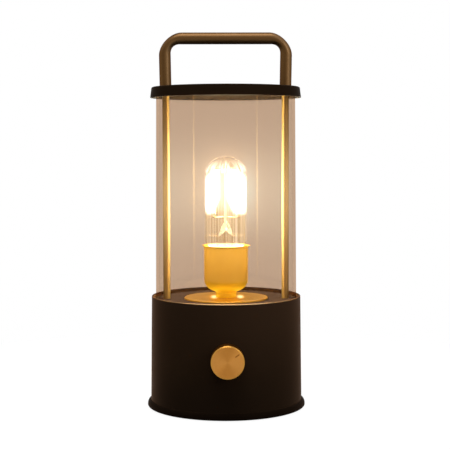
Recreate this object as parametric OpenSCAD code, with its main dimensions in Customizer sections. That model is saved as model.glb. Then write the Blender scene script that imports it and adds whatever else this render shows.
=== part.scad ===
// Rechargeable table lantern: a tubular LED bulb in a glass chimney, clamped between a drum base
// and a shallow cap by two brass tie rods that screw into a fixed carrying handle.
// Millimetres, +Z up. The origin is on the floor at the centre of the base, and the knob faces -Y.

/* [Base] */
// Outside diameter of the base housing at its rim
base_d = 136; // [130:0.2:150]
// Outward lean of the base wall from the rim to the foot
base_flare = 1.1; // [0:0.1:2]
// Height of the base rim above the floor
base_h = 101.8; // [94:0.2:125]
// Wall of the base housing
base_wall = 2; // [1.5:0.25:3]
// Drop from the base rim to the deck
deck_drop = 3; // [2:0.5:6]
// Thickness of the deck plate
deck_t = 4; // [3.5:0.5:7]
// Width of the ledge that carries the deck
ledge_w = 6; // [5.5:0.25:6.25]
// Thickness of the ledge
ledge_t = 4; // [3:0.5:6]
// Thickness of the foot ring's inner flange
flange_t = 3; // [2.5:0.25:5]
// How far the bead stands out past the base wall
bead_out = 3.1; // [1.5:0.1:5]
// Gap between the bead and the floor
bead_lift = 0.9; // [0.4:0.1:1.6]
// Thickness of the anti-slip pad
pad_t = 1.5; // [1:0.25:2.5]
// Thickness of the bottom cover
cover_t = 2.5; // [2.25:0.25:3.5]

/* [Glass and cap] */
// Height of glass that shows between the rim and the cap
glass_show = 180.2; // [165:0.2:230]
// Wall of the glass chimney
glass_wall = 2.5; // [2:0.25:3.5]
// Inward lean of the glass from its foot to its top
glass_draft = 1.2; // [0:0.1:1.3]
// Gap between the base rim and the glass
rim_gap = 1.8; // [1.5:0.1:3]
// Overhang of the cap past the top of the glass
cap_lip = 5.4; // [4.5:0.1:7]
// Height of the cap
cap_h = 9.5; // [8.5:0.5:14]
// Thickness of the cap's top
cap_t = 2; // [1.5:0.25:4]
// Wall of the cap's skirt
skirt_wall = 1.5; // [1.25:0.25:2.5]
// Inward lean of the cap's skirt from edge to top
cap_draft = 1; // [0.5:0.25:2]
// Thickness of the glass gaskets
gasket_t = 1.5; // [1:0.25:2]

/* [Rods and handle] */
// Diameter of the tie rods
rod_d = 6.5; // [6:0.25:8]
// Diameter of the threaded rod ends
rod_end_d = 5; // [4:0.5:5.5]
// Gap between a tie rod and the foot of the glass
rod_gap = 4.25; // [3.6:0.05:6]
// Outside diameter of the handle tube
handle_d = 10.7; // [9.5:0.1:13]
// Wall of the handle tube
handle_wall = 1.2; // [0.8:0.1:1.4]
// Height of the handle above the cap
handle_rise = 49.3; // [42:0.1:80]
// Bend radius of the handle at the tube's centre
handle_bend = 15; // [12:0.5:20]
// Length of the threaded bush inside each handle leg
bush_l = 18; // [12:1:19]

/* [Lampholder] */
// Diameter of the lampholder cup
cup_d = 40; // [38.5:0.1:46]
// Diameter of the cup's flared rim
cup_rim_d = 43.6; // [42:0.1:52]
// Height of the cup above the brass disc
cup_h = 47.5; // [46:0.1:52]
// Wall of the cup
cup_wall = 0.9; // [0.6:0.1:1.1]
// Diameter of the cup's neck
neck_d = 19; // [14:0.5:22]
// Height of the cup's neck
neck_h = 5; // [3:0.5:6]
// Diameter of the brass disc under the cup
disc_d = 76.5; // [60:0.5:84]
// Thickness of the brass disc
disc_t = 1.4; // [1:0.1:3]
// Diameter of the threaded tube that holds the lampholder
nipple_d = 10; // [8:0.5:12]

/* [Bulb] */
// Diameter of the tubular bulb
bulb_d = 38; // [34:0.5:40]
// Height of the bulb's glass above its screw cap
bulb_h = 88.2; // [80:0.2:105]
// Wall of the bulb's glass
bulb_wall = 1; // [0.7:0.1:1.4]
// Diameter over the bulb's screw thread
screw_d = 26.2; // [25.8:0.1:26.4]
// Length of the bulb's screw shell
screw_l = 21; // [19:0.5:23]
// Number of LED filaments on each side of the bulb
filaments_a_side = 3; // [2:1:3]
// Diameter of an LED filament
filament_d = 2.6; // [2:0.1:3]
// Length of an LED filament
filament_l = 38; // [30:1:44]

/* [Dimmer] */
// Diameter of the dimmer knob
knob_d = 29; // [26:0.1:36]
// Depth of the knob from back to front
knob_depth = 13; // [10.5:0.5:18]
// Height of the knob's axis above the floor
knob_z = 53.65; // [50:0.05:66]
// Clock angle of the pointer from the top, as photographed
pointer_angle = 54; // [-150:1:150]
// Diameter of the dimmer's shaft
shaft_d = 6; // [5:0.25:6]

/* [Inside the base] */
// Diameter of a battery cell
cell_d = 18.4; // [14:0.1:21]
// Length of a battery cell
cell_l = 65; // [50:1:70]
// Height of the charging port's centre above the floor
port_z = 34; // [32:0.5:40]
// Diameter of the insulated leads
lead_d = 1.6; // [1:0.1:1.8]

/* [Hidden] */
$fn = 96;
round_fn = 48;

// Clearances
fit = 0.1;
slip = 0.3;
running = 0.05;
over = 1;

// Base levels and radii
base_r = base_d / 2;
bore_r = base_r - base_wall;
rim_bevel = 0.4;
base_foot_r = base_r + base_flare;
bead_low = 1.5;
cover_top = pad_t + cover_t;
foot_top = cover_top + flange_t;
foot_lip_w = 3.5;
cover_r = base_r - foot_lip_w - fit;
flange_w = 8;
flange_r = cover_r - flange_w;
spigot_t = 2.5;
spigot_h = 5;
pad_inset = 1;
deck_top = base_h - deck_drop;
deck_z = deck_top - deck_t;
ledge_z = deck_z - ledge_t;

// Screws of the bottom cover and the deck
cover_screws_n = 4;
cover_screw_r = 1.5;
cover_head_r = 3;
cover_head_h = 1.5;
cover_bite_left = 1;
cover_bite = flange_t - cover_bite_left;
cover_screw_pcr = cover_r - flange_w / 2;
deck_screws_n = 3;
deck_screw_r = 1.4;
deck_head_r = 2.6;
deck_head_h = 1.6;
deck_bite_left = 0.5;
deck_bite = deck_t - gasket_t - deck_bite_left;
deck_screw_pcr = bore_r - ledge_w / 2;

// Glass and cap
glass_r = bore_r - rim_gap;
glass_in = glass_r - glass_wall;
glass_top_r = glass_r - glass_draft;
glass_top_in = glass_in - glass_draft;
gasket_over = 0.5;
cap_z = base_h + glass_show;
cap_top = cap_z + cap_h;
cap_under = cap_top - cap_t;
cap_r = glass_top_r + cap_lip;
cap_round = 1.6;
cap_rib_w = 1.6;
cap_rib_h = 3;
glass_top = cap_under - gasket_t;

// Rods and handle
rod_x = glass_in - rod_gap - rod_d / 2;
rod_end_r = rod_end_d / 2;
rod_washer_t = 1.2;
rod_washer_w = 2.4;
rod_washer_r = rod_end_r + rod_washer_w;
rod_nut_af = 1.6 * rod_end_d;
rod_nut_h = 4;
rod_thread_out = 2;
rod_tail = rod_washer_t + rod_nut_h + rod_thread_out;
handle_r = handle_d / 2;
handle_in = handle_r - handle_wall;
handle_z = cap_top + handle_rise - handle_r;
bar_half = rod_x - handle_bend;

// Lampholder stack
disc_top = deck_top + disc_t;
cup_r = cup_d / 2;
cup_top = disc_top + cup_h;
cup_floor_lift = 2.6;
cup_floor = disc_top + neck_h + cup_floor_lift;
cup_round = 11;
bowl_h = 10.2;
bowl_from = -70;
flare_h = 4;
nipple_r = nipple_d / 2;
nipple_wall = 1.6;
nipple_bore = nipple_r - nipple_wall;
nipple_nut_af = 1.7 * nipple_d;
nipple_nut_h = 3;
nipple_thread_out = 4;
nipple_tail = nipple_nut_h + nipple_thread_out;
nipple_bite = 3;
socket_gap = 0.3;
shell_t = 0.6;
shell_in = screw_d / 2 + socket_gap;
shell_out = shell_in + shell_t;
holder_floor_t = 5;
holder_floor = cup_floor + holder_floor_t;
holder_r = cup_r - cup_wall - fit;
contact_t = 1.2;
contact_r = 5;
shell_lift = 1;
shell_z = holder_floor + shell_lift;
holder_spare = 5;
holder_top = holder_floor + screw_l + holder_spare;

// Bulb levels
tip_h = 2;
tip_r = 4;
tip_lean = 1;
insulator_rim = 2;
insulator_h = 3.5;
tip_z = holder_floor + contact_t + slip;
insulator_z = tip_z + tip_h;
screw_z = insulator_z + insulator_h;
screw_top = screw_z + screw_l;
screw_ridges = 5;
ridge_h = 0.3;
cap_shell_t = 0.8;
cap_shell_in = screw_d / 2 - 2 * ridge_h - cap_shell_t;
bulb_neck_r = cap_shell_in - fit;
bulb_neck_l = 5;
bulb_r = bulb_d / 2;
bulb_top = screw_top + bulb_h;
shoulder_h = 11;
dome_h = 17;
driver_h = 12;

// LED filaments, in two fans of equal count on the +X and -X sides of the stem
filament_r = filament_d / 2;
fan_step = 30;
fan_gap = 4.5;
fan_r = bulb_r - bulb_wall - filament_r - fan_gap;
filament_in_dome = 2.5;
filament_z = bulb_top - dome_h - filament_l + filament_in_dome;
filament_top = filament_z + filament_l;
stem_r = 1.6;
stem_over = 3.5;
stem_top = filament_top + stem_over;
stem_lift = 1.5;
stem_flare_z = screw_top + stem_lift;
stem_flare_r = bulb_neck_r - bulb_wall - slip;
stem_flare_h = 26.7;
stem_wall = 1;
stem_hollow = 0.85;
wire_r = 0.35;
wire_pin_r = 0.25;
wire_drop = 3;
ferrule_h = 2;
ferrule_r = 0.8 * filament_r;

// Dimmer, along Y through the front of the housing
shaft_r = shaft_d / 2;
dimmer_bush_wall = 0.8;
dimmer_bush_r = shaft_r + dimmer_bush_wall;
boss_in = 4;
boss_r = 11;
boss_y = -(bore_r - boss_in);
dimmer_r = 8.5;
dimmer_depth = 12.5;
spot_in = 0.5;
spot_r = 7.2;
spot_y = -(base_r - spot_in);
dimmer_washer_t = 0.5;
dimmer_washer_r = spot_r - 1;
dimmer_nut_wall = 1.5;
dimmer_nut_af = 2 * (dimmer_bush_r + dimmer_nut_wall);
dimmer_nut_h = 2;
bush_thread_out = 0.5;
dimmer_bush_y = spot_y - dimmer_washer_t - dimmer_nut_h - bush_thread_out;
knob_r = knob_d / 2;
knob_gap = 0.3;
knob_back = -(base_foot_r + knob_gap);
knob_front = knob_back - knob_depth;
knob_recess_r = 8.2;
knob_recess_gap = 0.5;
knob_recess_y = dimmer_bush_y - knob_recess_gap;
knob_chamfer = 1;
knob_face_t = 3;
shaft_tip = knob_front + knob_face_t;
shaft_back = boss_y + dimmer_depth / 2;
pointer_w = 1;
pointer_deep = 0.5;
pointer_from = 0.55;
pointer_to = 0.84;
set_screw_r = 1.5;
set_screw_y = (knob_recess_y + shaft_tip) / 2;
terminal_w = 2;
terminal_step = 5;
terminal_t = 0.8;
terminal_drop = 4;
terminal_in = 4;
terminal_y = boss_y + terminal_in;

// Battery, board and charging port
cradle_floor = 1.5;
cradle_wall = 2.5;
cell_gap = 1;
cell_y = (cell_d + cell_gap) / 2;
cell_z = cover_top + cradle_floor + cell_d / 2;
cell_nub_r = 3;
cell_nub_h = 1;
tab_t = 0.5;
tab_w = 8;
cradle_x = cell_l / 2 + tab_t + 2 * fit;
cradle_y = cell_y + cell_d / 2 + cradle_wall;
cradle_over = 3;
cradle_top = cell_z + cradle_over;
tab_top = cell_z + cell_d / 2;
board_t = 1.6;
board_half = 18;
usb_w = 9;
usb_h = 3.2;
usb_l = 9;
usb_wall = 0.35;
usb_tongue_h = 0.7;
usb_tongue_w = usb_w * 2 / 3;
usb_tongue_l = 6.5;
usb_back_t = 2;
usb_inset = 1;
usb_seat = 3.5;
board_z = port_z - usb_h / 2 - board_t;
board_top = board_z + board_t;
usb_mouth = base_r - usb_inset;
usb_back = usb_mouth - usb_l;
board_rear = usb_back + usb_seat;
board_gap = 1;
board_front = cradle_y + board_gap;
standoff_r = 3;
standoff_edge = 4;
standoff_gap = 3;
standoff_x = board_half - standoff_edge;
standoff_y = [board_front + standoff_edge, flange_r - standoff_r - standoff_gap];
board_screw_r = 1.25;
board_bite = 5;
standoff_bore = 6;
board_head_r = 2.4;
board_head_h = 1.5;
bezel_wall = 2.2;
bezel_w = usb_w + 2 * bezel_wall;
bezel_h = usb_h + 2 * bezel_wall;
bezel_flange = 1.6;
bezel_flange_t = 2;
bezel_flange_y = sqrt(pow(bore_r, 2) - pow(bezel_w / 2 + bezel_flange, 2)) - slip;
bezel_proud = 0.1;
bezel_out = base_foot_r + bezel_proud;

// Routes of the insulated leads, as chosen points
lead_sides = 8;
lead_steps = 4;
lead_r = lead_d / 2;
lead_start_side = [0.83, 0.31, 0.46];
lamp_lead_x = 1.2;
lamp_pad_x = 5;
lamp_pad_y = board_front + 14;
lamp_bend_y = 22;
lamp_bend_z = 58;
lamp_entry_drop = 16;
lead_rise = 6;
lead_run_z = 34;
dimmer_pad_y = board_front + 5;
dimmer_run_y = -28;
battery_pad_x = 11;
battery_pad_y = board_front + 11;
battery_bend_x = 28;
nipple_entry = deck_z - nipple_tail;
nipple_exit = cup_floor + nipple_bite;
terminal_end = knob_z - dimmer_r - terminal_drop;
battery_lead_x = cell_l / 2 + fit + tab_t / 2;
function lamp_route(s) = [
    [s * lamp_pad_x, lamp_pad_y, board_top], [s * lamp_pad_x, lamp_pad_y, board_top + 2 * lead_rise],
    [s * lamp_pad_x, lamp_bend_y, lamp_bend_z], [s * lamp_lead_x, lead_rise, nipple_entry - lamp_entry_drop],
    [s * lamp_lead_x, 0, nipple_entry], [s * lamp_lead_x, 0, deck_z], [s * lamp_lead_x, 0, nipple_exit]];
function dimmer_route(x) = [
    [x, terminal_y, terminal_end], [x, terminal_y, terminal_end - lead_rise], [x, dimmer_run_y, lead_run_z],
    [x, 0, lead_run_z], [x, dimmer_pad_y - 2 * lead_rise, board_top + lead_rise],
    [x, dimmer_pad_y, board_top + lead_rise], [x, dimmer_pad_y, board_top]];
function battery_route(s) = [
    [s * battery_lead_x, cell_y, tab_top], [s * battery_lead_x, cell_y, tab_top + lead_rise],
    [s * battery_bend_x, cell_y + lead_rise, board_top + lead_rise],
    [s * (battery_bend_x + battery_pad_x) / 2, board_front, board_top + 2 * lead_rise],
    [s * battery_pad_x, battery_pad_y, board_top + lead_rise], [s * battery_pad_x, battery_pad_y, board_top]];

// Points of an arc about a centre, with separate radii across and up
function arc(c, rx, rz, from, to, n = 12) =
    [for (i = [0:n]) let (a = from + (to - from) * i / n) [c[0] + rx * cos(a), c[1] + rz * sin(a)]];

// A smooth curve through a list of points, with n steps between neighbours
function spline_point(a, b, c, d, t) =
    b + 0.5 * t * (c - a + t * (2 * a - 5 * b + 4 * c - d + t * (3 * (b - c) + d - a)));
function spline(p, n) = concat(
    [for (i = [0:len(p) - 2]) for (k = [0:n - 1])
        spline_point(p[max(i - 1, 0)], p[i], p[i + 1], p[min(i + 2, len(p) - 1)], k / n)],
    [p[len(p) - 1]]);
function unit(v) = v / norm(v);
function tangent(p, i) = unit(p[min(i + 1, len(p) - 1)] - p[max(i - 1, 0)]);
function side_of(v, t) = unit(v - (v * t) * t);

// Side vectors carried along a path without twist
function sides_along(p, i, v) =
    i == len(p) ? [] : let (s = side_of(v, tangent(p, i))) concat([s], sides_along(p, i + 1, s));

module flat_ring(r_out, r_in, z, h) {
    translate([0, 0, z]) difference() {
        cylinder(r = r_out, h = h);
        translate([0, 0, -over]) cylinder(r = r_in, h = h + 2 * over);
    }
}

module spread(n, r, turn = 0) {
    for (i = [0:n - 1]) rotate([0, 0, turn + i * 360 / n]) translate([r, 0, 0]) children();
}

module at_rods() {
    for (s = [-1, 1]) translate([s * rod_x, 0, 0]) children();
}

// Points +Z of its children towards the front, with the origin on the knob's axis
module on_knob_axis(y) {
    translate([0, y, knob_z]) rotate([90, 0, 0]) children();
}

module hex_nut(af, h, hole_r) {
    difference() {
        cylinder(d = af / cos(30), h = h, $fn = 6);
        translate([0, 0, -over]) cylinder(r = hole_r, h = h + 2 * over);
    }
}

module stadium(w, h) {
    square([w - h, h], center = true);
    for (s = [-1, 1]) translate([s * (w - h) / 2, 0]) circle(d = h, $fn = round_fn);
}

// A stadium prism about the charging port's centre, running from y0 out to y1
module port_prism(w, h, y0, y1) {
    translate([0, y1, port_z]) rotate([90, 0, 0]) linear_extrude(y1 - y0) stadium(w, h);
}

// A round tube swept through chosen points
module lead(route) {
    path = spline(route, lead_steps);
    rings = len(path);
    sides = sides_along(path, 0, lead_start_side);
    points = [for (i = [0:rings - 1]) let (u = sides[i], v = cross(tangent(path, i), u))
        for (k = [0:lead_sides - 1]) let (a = k * 360 / lead_sides)
            path[i] + lead_r * (cos(a) * u + sin(a) * v)];
    walls = [for (i = [0:rings - 2]) for (k = [0:lead_sides - 1])
        let (a = i * lead_sides + k, b = i * lead_sides + (k + 1) % lead_sides)
            each [[a, a + lead_sides, b], [b, a + lead_sides, b + lead_sides]]];
    last = (rings - 1) * lead_sides;
    ends = [for (k = [1:lead_sides - 2]) each [[0, k, k + 1], [last, last + k + 1, last + k]]];
    polyhedron(points, concat(walls, ends));
}

module base_housing() {
    color("#241a14") difference() {
        union() {
            rotate_extrude() polygon([
                [bore_r, foot_top], [base_foot_r, foot_top], [base_r, base_h - rim_bevel],
                [base_r - rim_bevel, base_h], [bore_r + rim_bevel, base_h], [bore_r, base_h - rim_bevel],
                [bore_r, deck_z], [bore_r - ledge_w, deck_z], [bore_r - ledge_w, ledge_z],
                [bore_r, ledge_z]]);
            intersection() {
                on_knob_axis(boss_y) cylinder(r = boss_r, h = boss_in + base_wall / 2);
                cylinder(r = base_r - base_wall / 2, h = base_h);
            }
        }
        on_knob_axis(boss_y + over)
            cylinder(r = dimmer_bush_r + fit, h = boss_in + base_wall + base_flare + 2 * over);
        on_knob_axis(spot_y) cylinder(r = spot_r, h = spot_in + base_flare + over);
        port_prism(bezel_w + 2 * fit, bezel_h + 2 * fit, bore_r - over, base_foot_r + over);
        spread(deck_screws_n, deck_screw_pcr, 90)
            translate([0, 0, ledge_z - over]) cylinder(r = deck_screw_r + fit, h = ledge_t + 2 * over);
    }
}

module foot_ring() {
    spigot_out = bore_r - fit;
    bead_z = bead_lift + bead_low;
    color("#1d1510") difference() {
        rotate_extrude() polygon(concat(
            [[cover_r + fit, bead_lift]],
            arc([base_foot_r + bead_out - bead_low, bead_z], bead_low, bead_low, -90, 0, 6),
            arc([base_foot_r, bead_z], bead_out, foot_top - bead_z, 10, 90, 10),
            [[spigot_out, foot_top], [spigot_out, foot_top + spigot_h],
                [spigot_out - spigot_t, foot_top + spigot_h], [spigot_out - spigot_t, foot_top],
                [flange_r, foot_top], [flange_r, cover_top], [cover_r + fit, cover_top]]));
        spread(cover_screws_n, cover_screw_pcr, 45)
            translate([0, 0, cover_top - over])
                cylinder(r = cover_screw_r + running, h = cover_bite + 2 * over);
    }
}

module cover_screw_shape(gap) {
    translate([0, 0, pad_t])
        cylinder(r1 = cover_head_r + gap, r2 = cover_screw_r + gap, h = cover_head_h + gap);
    translate([0, 0, pad_t]) cylinder(r = cover_screw_r + gap, h = cover_t + cover_bite);
}

module bottom_cover() {
    color("#2b2724") difference() {
        translate([0, 0, pad_t]) cylinder(r = cover_r, h = cover_t);
        spread(cover_screws_n, cover_screw_pcr, 45) cover_screw_shape(fit);
    }
}

module anti_slip_pad() {
    color("#1a1a1a") cylinder(r = cover_r - pad_inset, h = pad_t);
}

module cover_screws() {
    color("silver") spread(cover_screws_n, cover_screw_pcr, 45) cover_screw_shape(0);
}

module deck_plate() {
    color("#2a201a") difference() {
        translate([0, 0, deck_z]) cylinder(r = bore_r - fit, h = deck_t);
        flat_ring(glass_r + gasket_over, glass_in - gasket_over, deck_top - gasket_t, gasket_t + over);
        at_rods() translate([0, 0, deck_z - over]) cylinder(r = rod_end_r + fit, h = deck_t + 2 * over);
        translate([0, 0, deck_z - over]) cylinder(r = nipple_r + fit, h = deck_t + 2 * over);
        spread(deck_screws_n, deck_screw_pcr, 90)
            translate([0, 0, deck_z - over]) cylinder(r = deck_screw_r + running, h = deck_bite + over);
    }
}

module deck_screws() {
    color("silver") spread(deck_screws_n, deck_screw_pcr, 90) union() {
        translate([0, 0, ledge_z - deck_head_h]) cylinder(r = deck_head_r, h = deck_head_h);
        translate([0, 0, ledge_z - deck_head_h])
            cylinder(r = deck_screw_r, h = deck_head_h + ledge_t + deck_bite);
    }
}

module glass_chimney() {
    color([0.72, 0.62, 0.54, 0.4]) rotate_extrude() polygon([
        [glass_in, deck_top], [glass_r, deck_top], [glass_top_r, glass_top], [glass_top_in, glass_top]]);
}

module gasket(r_out, r_in, z) {
    flat_ring(r_out + gasket_over - fit, r_in - gasket_over + fit, z, gasket_t);
}

module lower_gasket() {
    color("#3a3532") gasket(glass_r, glass_in, deck_top - gasket_t);
}

module upper_gasket() {
    color("#3a3532") gasket(glass_top_r, glass_top_in, glass_top);
}

module top_cap() {
    top_r = cap_r - cap_draft;
    rib_out = glass_top_in - gasket_over - fit;
    color("#241a14") difference() {
        union() {
            rotate_extrude() polygon(concat(
                [[0, cap_under], [cap_r - skirt_wall - cap_draft, cap_under], [cap_r - skirt_wall, cap_z],
                    [cap_r, cap_z]],
                arc([top_r - cap_round, cap_top - cap_round], cap_round, cap_round, 0, 90, 8),
                [[0, cap_top]]));
            flat_ring(rib_out, rib_out - cap_rib_w, cap_under - cap_rib_h, cap_rib_h + cap_t / 2);
        }
        at_rods() translate([0, 0, cap_under - over]) cylinder(r = rod_end_r + fit, h = cap_t + 2 * over);
    }
}

// A solid bent bar along the handle's centre line, of the given radius
module handle_bar(r, z0) {
    for (s = [-1, 1]) {
        translate([s * rod_x, 0, z0]) cylinder(r = r, h = handle_z - handle_bend - z0);
        translate([s * bar_half, 0, handle_z - handle_bend]) rotate([90, 0, s > 0 ? 0 : 180])
            rotate_extrude(angle = 90) translate([handle_bend, 0]) circle(r = r, $fn = round_fn);
    }
    translate([-bar_half, 0, handle_z]) rotate([0, 90, 0]) cylinder(r = r, h = 2 * bar_half);
}

module handle() {
    color("#8a6a3c") difference() {
        handle_bar(handle_r, cap_top);
        handle_bar(handle_in, cap_top - over);
    }
}

module handle_bush(s) {
    color("#a07c45") translate([s * rod_x, 0, 0])
        flat_ring(handle_in - running, rod_end_r + running, cap_top, bush_l);
}

module tie_rod(s) {
    color("#b58a45") translate([s * rod_x, 0, 0]) union() {
        translate([0, 0, deck_top]) cylinder(d = rod_d, h = cap_under - deck_top);
        translate([0, 0, deck_z - rod_tail])
            cylinder(r = rod_end_r, h = cap_top + bush_l - deck_z + rod_tail);
    }
}

module rod_washers() {
    color("silver") at_rods() flat_ring(rod_washer_r, rod_end_r + fit, deck_z - rod_washer_t, rod_washer_t);
}

module rod_nuts() {
    color("silver") at_rods() translate([0, 0, deck_z - rod_washer_t - rod_nut_h])
        hex_nut(rod_nut_af, rod_nut_h, rod_end_r + running);
}

module brass_disc() {
    disc_r = disc_d / 2;
    bevel = disc_t / 3;
    color("#c8964a") rotate_extrude() polygon([
        [nipple_r + fit, deck_top], [disc_r, deck_top], [disc_r, disc_top - bevel],
        [disc_r - bevel, disc_top], [nipple_r + fit, disc_top]]);
}

module lampholder_cup() {
    bowl_z = disc_top + neck_h + cup_round;
    inner_r = cup_r - cup_wall;
    flare = (cup_rim_d - cup_d) / 2;
    color("#d9a24a") rotate_extrude() polygon(concat(
        [[nipple_r + fit, disc_top], [neck_d / 2, disc_top], [neck_d / 2, disc_top + neck_h]],
        arc([cup_r - cup_round, bowl_z], cup_round, bowl_h, bowl_from, 0),
        arc([cup_r + flare, cup_top - flare_h], flare, flare_h, 180, 90, 6),
        [[cup_r + flare - cup_wall / 2, cup_top]],
        arc([cup_r + flare, cup_top - flare_h], flare + cup_wall, flare_h, 120, 180, 6),
        arc([inner_r - cup_round + cup_wall, bowl_z], cup_round - cup_wall, bowl_z - cup_floor, 0, -90),
        [[nipple_r + fit, cup_floor]]));
}

module lampholder_nipple() {
    color("#b58a45") flat_ring(nipple_r, nipple_bore, deck_z - nipple_tail,
        cup_floor + nipple_bite - deck_z + nipple_tail);
}

module nipple_nut() {
    color("silver") translate([0, 0, deck_z - nipple_nut_h])
        hex_nut(nipple_nut_af, nipple_nut_h, nipple_r + running);
}

module lampholder_body() {
    color("ivory") difference() {
        rotate_extrude() polygon(concat(
            [[0, cup_floor], [holder_r - cup_round + cup_wall, cup_floor]],
            arc([holder_r - cup_round + cup_wall, disc_top + neck_h + cup_round],
                cup_round - cup_wall, disc_top + neck_h + cup_round - cup_floor, -90, 0),
            [[holder_r, holder_top], [0, holder_top]]));
        translate([0, 0, holder_floor]) cylinder(r = shell_out + fit, h = holder_top);
        translate([0, 0, cup_floor - over]) cylinder(r = nipple_r + fit, h = nipple_bite + over);
    }
}

module lampholder_shell() {
    color("gold") flat_ring(shell_out, shell_in, shell_z, holder_top - shell_z);
}

module lampholder_contact() {
    color("gold") translate([0, 0, holder_floor]) cylinder(r = contact_r, h = contact_t);
}

module bulb_envelope() {
    neck_in = bulb_neck_r - bulb_wall;
    shoulder_z = screw_top + shoulder_h;
    dome_z = bulb_top - dome_h;
    // The shoulder swings from the neck out to the tube in two equal curves
    function shoulder(r0, r1) = [for (i = [0:10]) let (t = i / 10)
        [r0 + (r1 - r0) * (1 - cos(180 * t)) / 2, screw_top + shoulder_h * t]];
    inner = shoulder(neck_in, bulb_r - bulb_wall);
    color([0.95, 0.92, 0.85, 0.3]) rotate_extrude() polygon(concat(
        [[neck_in, screw_top - bulb_neck_l], [bulb_neck_r, screw_top - bulb_neck_l]],
        shoulder(bulb_neck_r, bulb_r),
        arc([0, dome_z], bulb_r, dome_h, 0, 90, 16),
        arc([0, dome_z], bulb_r - bulb_wall, dome_h - bulb_wall, 90, 0, 16),
        [for (i = [len(inner) - 1:-1:0]) inner[i]]));
}

module bulb_stem() {
    bell_curve = 0.7;
    steps = 12;
    // The bell spreads fast below the rod, then falls more steeply to the neck at its foot
    function bell(r0, r1, z0, z1) = [for (i = [0:steps]) let (t = i / steps)
        [r0 + (r1 - r0) * pow(t, bell_curve), z1 + (z0 - z1) * t]];
    bell_top = stem_flare_z + stem_flare_h;
    outer = bell(stem_r, stem_flare_r, stem_flare_z, bell_top);
    inner = bell(0, stem_flare_r - stem_wall, stem_flare_z - over, stem_flare_z + stem_hollow * stem_flare_h);
    color([0.95, 0.92, 0.85, 0.4]) rotate_extrude() difference() {
        polygon(concat(
            [[0, stem_flare_z]], [for (i = [steps:-1:0]) outer[i]],
            arc([0, stem_top - stem_r], stem_r, stem_r, 0, 90, 6)));
        polygon(concat(inner, [[0, stem_flare_z - over]]));
    }
}

module bulb_screw_cap() {
    ridge_r = screw_d / 2 - ridge_h;
    steps = 8 * screw_ridges;
    color("#c9c6be") rotate_extrude() polygon(concat(
        [[cap_shell_in, screw_z]],
        [for (i = [0:steps]) [ridge_r + ridge_h * cos(360 * i * screw_ridges / steps),
            screw_z + screw_l * i / steps]],
        [[cap_shell_in, screw_top]]));
}

module bulb_insulator() {
    color("#1c1c1c") translate([0, 0, insulator_z])
        cylinder(r1 = tip_r + insulator_rim, r2 = cap_shell_in, h = insulator_h);
}

module bulb_contact_tip() {
    color("silver") translate([0, 0, tip_z]) cylinder(r1 = tip_r - tip_lean, r2 = tip_r, h = tip_h);
}

module bulb_driver() {
    color("#2e5d3a") translate([0, 0, screw_z]) cylinder(r = cap_shell_in - fit, h = driver_h);
}

// Places its children at each filament, on a side fan of the bulb
module at_filaments() {
    for (s = [0, 180]) for (k = [0:filaments_a_side - 1])
        rotate([0, 0, s + (k - (filaments_a_side - 1) / 2) * fan_step]) translate([fan_r, 0, 0]) children();
}

module led_filaments() {
    color("#ffe2a0") at_filaments() translate([0, 0, filament_z + ferrule_h])
        cylinder(r = filament_r, h = filament_l - 2 * ferrule_h, $fn = round_fn);
}

module filament_ferrules() {
    color("silver") at_filaments() for (z = [filament_z, filament_top - ferrule_h])
        translate([0, 0, z]) cylinder(r = ferrule_r, h = ferrule_h, $fn = round_fn);
}

module filament_wires() {
    color("silver") at_filaments() for (up = [-1, 1]) {
        end_z = up < 0 ? filament_z : filament_top;
        translate([wire_r, 0, end_z + up * wire_drop]) rotate([0, -90, 0])
            cylinder(r = wire_r, h = fan_r - stem_r - fit + wire_r, $fn = round_fn);
        translate([0, 0, up < 0 ? end_z - wire_drop : end_z])
            cylinder(r = wire_pin_r, h = wire_drop, $fn = round_fn);
    }
}

module dimmer_knob() {
    color("#b98642") difference() {
        on_knob_axis(knob_back) rotate_extrude() polygon([
            [0, 0], [knob_r, 0], [knob_r, knob_depth - knob_chamfer],
            [knob_r - knob_chamfer, knob_depth], [0, knob_depth]]);
        on_knob_axis(knob_back + over) cylinder(r = knob_recess_r, h = knob_back - knob_recess_y + over);
        on_knob_axis(knob_recess_y + over)
            cylinder(r = shaft_r + running, h = knob_recess_y - shaft_tip + over + slip);
        translate([0, knob_front, knob_z]) rotate([0, pointer_angle, 0])
            translate([-pointer_w / 2, -over, knob_r * pointer_from])
                cube([pointer_w, pointer_deep + over, knob_r * (pointer_to - pointer_from)]);
        translate([0, set_screw_y, knob_z - knob_r - over])
            cylinder(r = set_screw_r + running, h = knob_r + over, $fn = round_fn);
    }
}

module dimmer_shaft() {
    color("silver") on_knob_axis(shaft_back) cylinder(r = shaft_r, h = shaft_back - shaft_tip);
}

module knob_set_screw() {
    length = (knob_r - shaft_r) / 2;
    color("#333333") translate([0, set_screw_y, knob_z - shaft_r - length - running])
        cylinder(r = set_screw_r, h = length, $fn = round_fn);
}

module dimmer_body() {
    color("#3c3c40") difference() {
        union() {
            on_knob_axis(boss_y + dimmer_depth) cylinder(r = dimmer_r, h = dimmer_depth);
            on_knob_axis(boss_y + over) cylinder(r = dimmer_bush_r, h = boss_y + over - dimmer_bush_y);
            for (k = [-1:1]) translate([k * terminal_step - terminal_w / 2, terminal_y - terminal_t / 2,
                knob_z - dimmer_r - terminal_drop]) cube([terminal_w, terminal_t, dimmer_r]);
        }
        on_knob_axis(shaft_back + slip)
            cylinder(r = shaft_r + running, h = boss_y + dimmer_depth - dimmer_bush_y);
    }
}

module dimmer_washer() {
    color("silver") on_knob_axis(spot_y) flat_ring(dimmer_washer_r, dimmer_bush_r + fit, 0, dimmer_washer_t);
}

module dimmer_nut() {
    color("silver") on_knob_axis(spot_y - dimmer_washer_t)
        hex_nut(dimmer_nut_af, dimmer_nut_h, dimmer_bush_r + running);
}

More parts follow.
